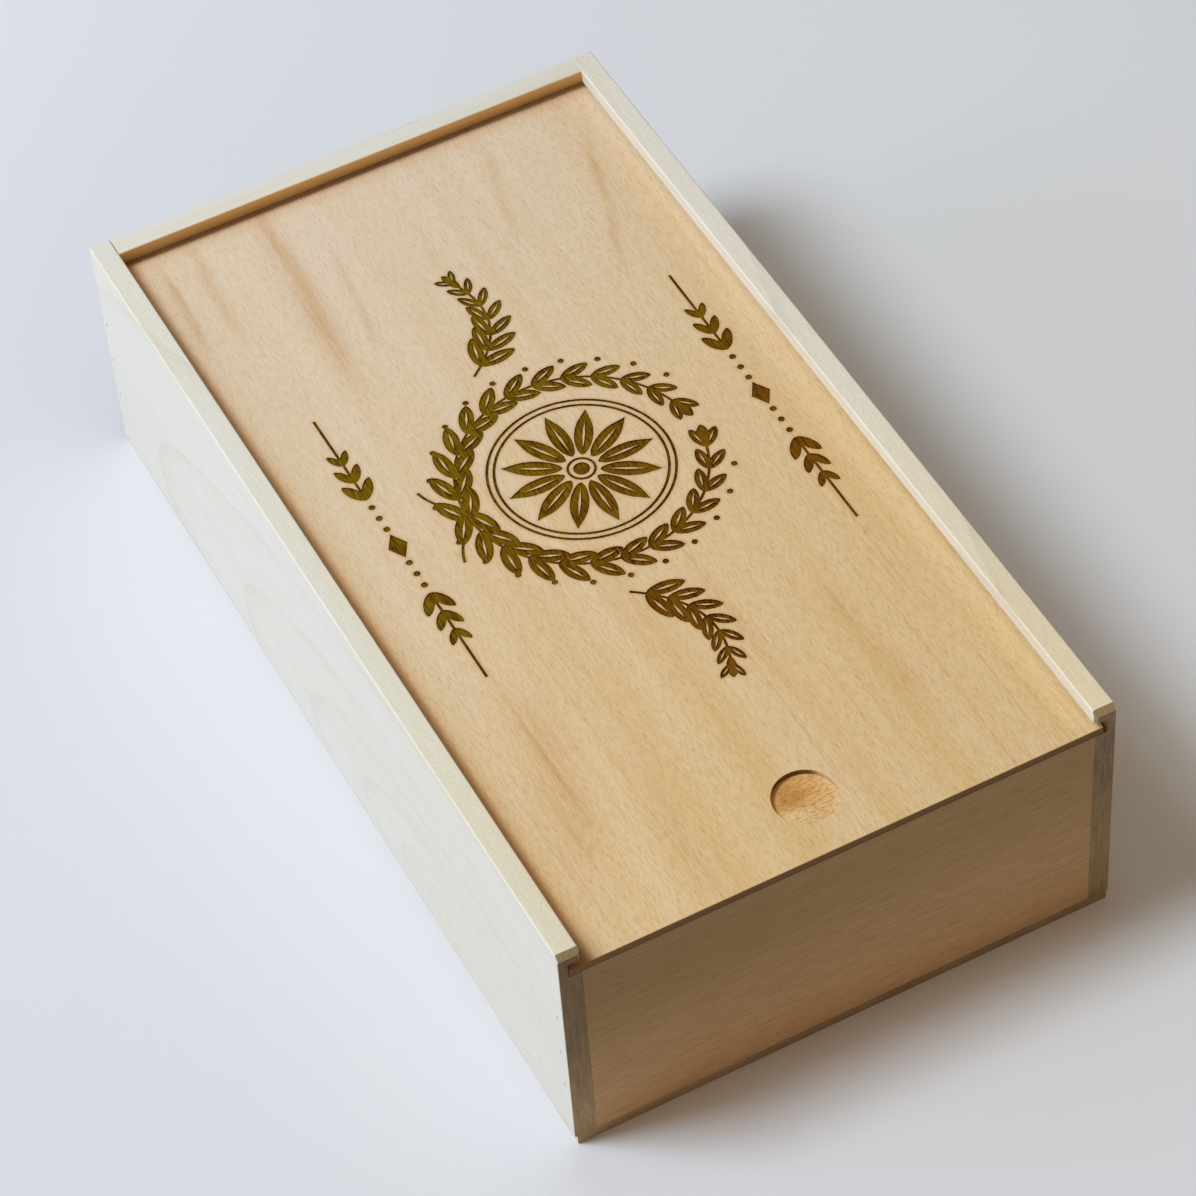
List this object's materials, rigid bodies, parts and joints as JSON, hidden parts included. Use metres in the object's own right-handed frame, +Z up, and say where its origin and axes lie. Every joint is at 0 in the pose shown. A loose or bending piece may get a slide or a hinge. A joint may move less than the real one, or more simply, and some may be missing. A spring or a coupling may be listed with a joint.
{
  "type": "wooden gift box",
  "caption": "Long low wooden box with a plywood lid that slides out to the front in grooves below the side lips, pulled by a round finger recess.",
  "frame": {"origin": "middle of the underside of the bottom panel", "axes": "+X to the box's right, +Y to the rear, away from the finger recess, +Z up"},
  "size_m": [0.2, 0.36, 0.099],
  "materials": {
    "pale_wood": "sanded, bare",
    "panel_wood": "bare panel",
    "beech_veneer": "sanded, bare",
    "beech_core": "bare, cut across",
    "brad_wire": "dull wire"
  },
  "bodies": {
    "box": {"bottom_panel": "panel_wood", "left_side": "pale_wood", "right_side": "pale_wood", "front_wall": "pale_wood", "rear_wall": "pale_wood", "corner_brads": "brad_wire", "bottom_brads": "brad_wire"},
    "lid": {"lid_back_ply": "beech_veneer", "lid_core_ply": "beech_core", "lid_face_ply": "beech_veneer"}
  },
  "joints": [
    {"name": "lid_slide", "type": "slide", "parent": "box", "child": "lid", "axis": [0, -1, 0], "range_m": [0, 0.356]}
  ]
}
